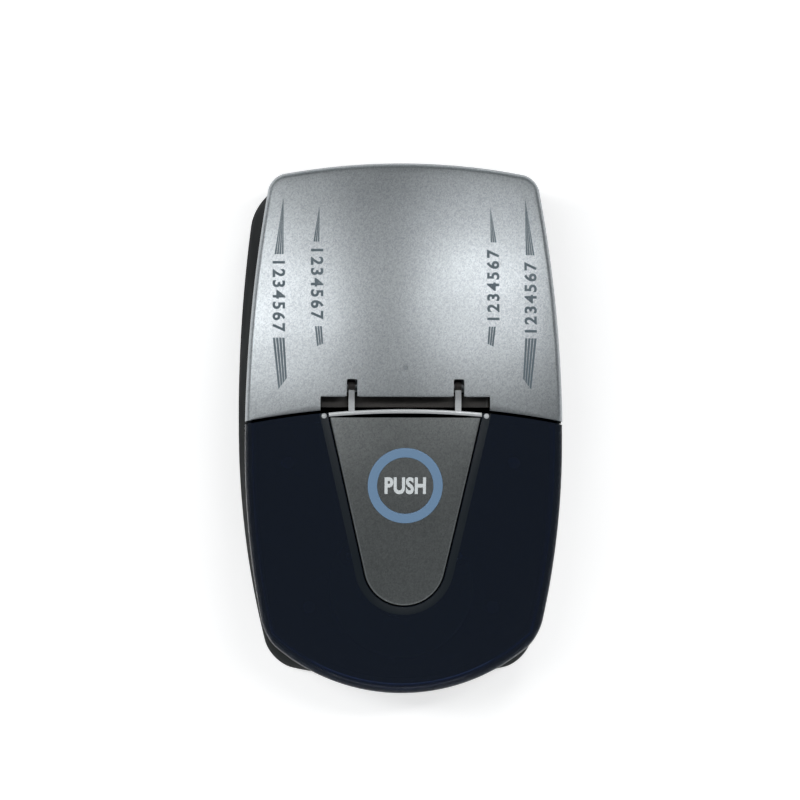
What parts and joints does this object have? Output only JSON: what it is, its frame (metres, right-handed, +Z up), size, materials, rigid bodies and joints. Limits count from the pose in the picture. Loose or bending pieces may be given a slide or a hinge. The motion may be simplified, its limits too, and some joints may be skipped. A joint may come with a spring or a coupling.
{
  "type": "diamond tester",
  "caption": "Countertop gemstone tester: crowned silver rear cover, hinged smoked lid over a test stage, and a tongue-shaped push button with a ring.",
  "frame": {"origin": "middle of the case's length and width, on the surface that the feet stand on", "axes": "+Y from the lid's front edge to the rear edge, +X to the right seen from the front, +Z up"},
  "size_m": [0.0992, 0.16, 0.0449],
  "materials": {
    "black_abs": "moulded, fine spark texture",
    "silver_paint": "satin metallic silver paint over moulded plastic",
    "trough_plastic": "moulded, satin",
    "smoked_lid": "polished smoky dark blue, slightly see-through",
    "bright_strip": "satin metallic silver paint",
    "blue_ring": "translucent pale blue",
    "stage_pad": "soft olive green",
    "clear_glass": "polished",
    "filter_glass": "polished",
    "lamp_resin": "clear resin",
    "clear_plastic": "polished",
    "board_laminate": "green solder mask",
    "chip_resin": "moulded resin",
    "steel": "nickel plated",
    "contact_metal": "tin plated",
    "screw_steel": "zinc plated",
    "cell_sleeve": "printed sleeve",
    "foot_rubber": "matt",
    "pale_plastic": "moulded"
  },
  "bodies": {
    "housing": {"base_shell": "black_abs", "test_deck": "black_abs", "battery_tray": "black_abs", "lamp_holder": "black_abs", "switch_case": "black_abs", "rear_cover": "silver_paint", "stage_pad": "stage_pad", "stage_window": "clear_glass", "optical_filter": "filter_glass", "test_lamps": "lamp_resin", "indicator_lamp": "lamp_resin", "light_guide": "clear_plastic", "sensor_board": "board_laminate", "main_board": "board_laminate", "switch_board": "board_laminate", "board_chips": "chip_resin", "photo_sensor": "chip_resin", "buzzer": "chip_resin", "test_switch": "chip_resin", "power_socket": "chip_resin", "hinge_bracket": "steel", "hinge_pin": "steel", "battery_contacts": "contact_metal", "case_screws": "screw_steel", "board_screws": "screw_steel", "deck_screws": "screw_steel", "bracket_screws": "screw_steel", "switch_screws": "screw_steel", "battery_cells": "cell_sleeve", "rubber_feet": "foot_rubber"},
    "lid": {"shield_lid": "smoked_lid", "hinge_arms": "bright_strip", "button_tray": "trough_plastic", "tray_screws": "screw_steel", "button_spring": "steel"},
    "button": {"test_button": "silver_paint", "button_ring": "blue_ring"},
    "plunger": {"switch_plunger": "pale_plastic"},
    "door": {"battery_door": "black_abs"},
    "slider": {"power_slider": "pale_plastic"}
  },
  "joints": [
    {"name": "lid_hinge", "type": "hinge", "parent": "housing", "child": "lid", "pos_m": [0, 0.013, 0.0397], "axis": [-1, 0, 0], "range_deg": [0, 95]},
    {"name": "button_press", "type": "slide", "parent": "lid", "child": "button", "axis": [0, 0, -1], "range_m": [0, 0.001], "stiffness_N_per_m": 400, "springref_m": -0.002, "deforming": ["button_spring"]},
    {"name": "plunger_press", "type": "slide", "parent": "housing", "child": "plunger", "axis": [0, 0, -1], "range_m": [0, 0.001]},
    {"name": "battery_door_release", "type": "slide", "parent": "housing", "child": "door", "axis": [0, 0, -1], "range_m": [0, 0.015]},
    {"name": "power_slide", "type": "slide", "parent": "housing", "child": "slider", "axis": [1, 0, 0], "range_m": [0, 0.004]}
  ],
  "couplings": [
    {"joint": "plunger_press", "follows": "button_press", "ratio": 1}
  ]
}
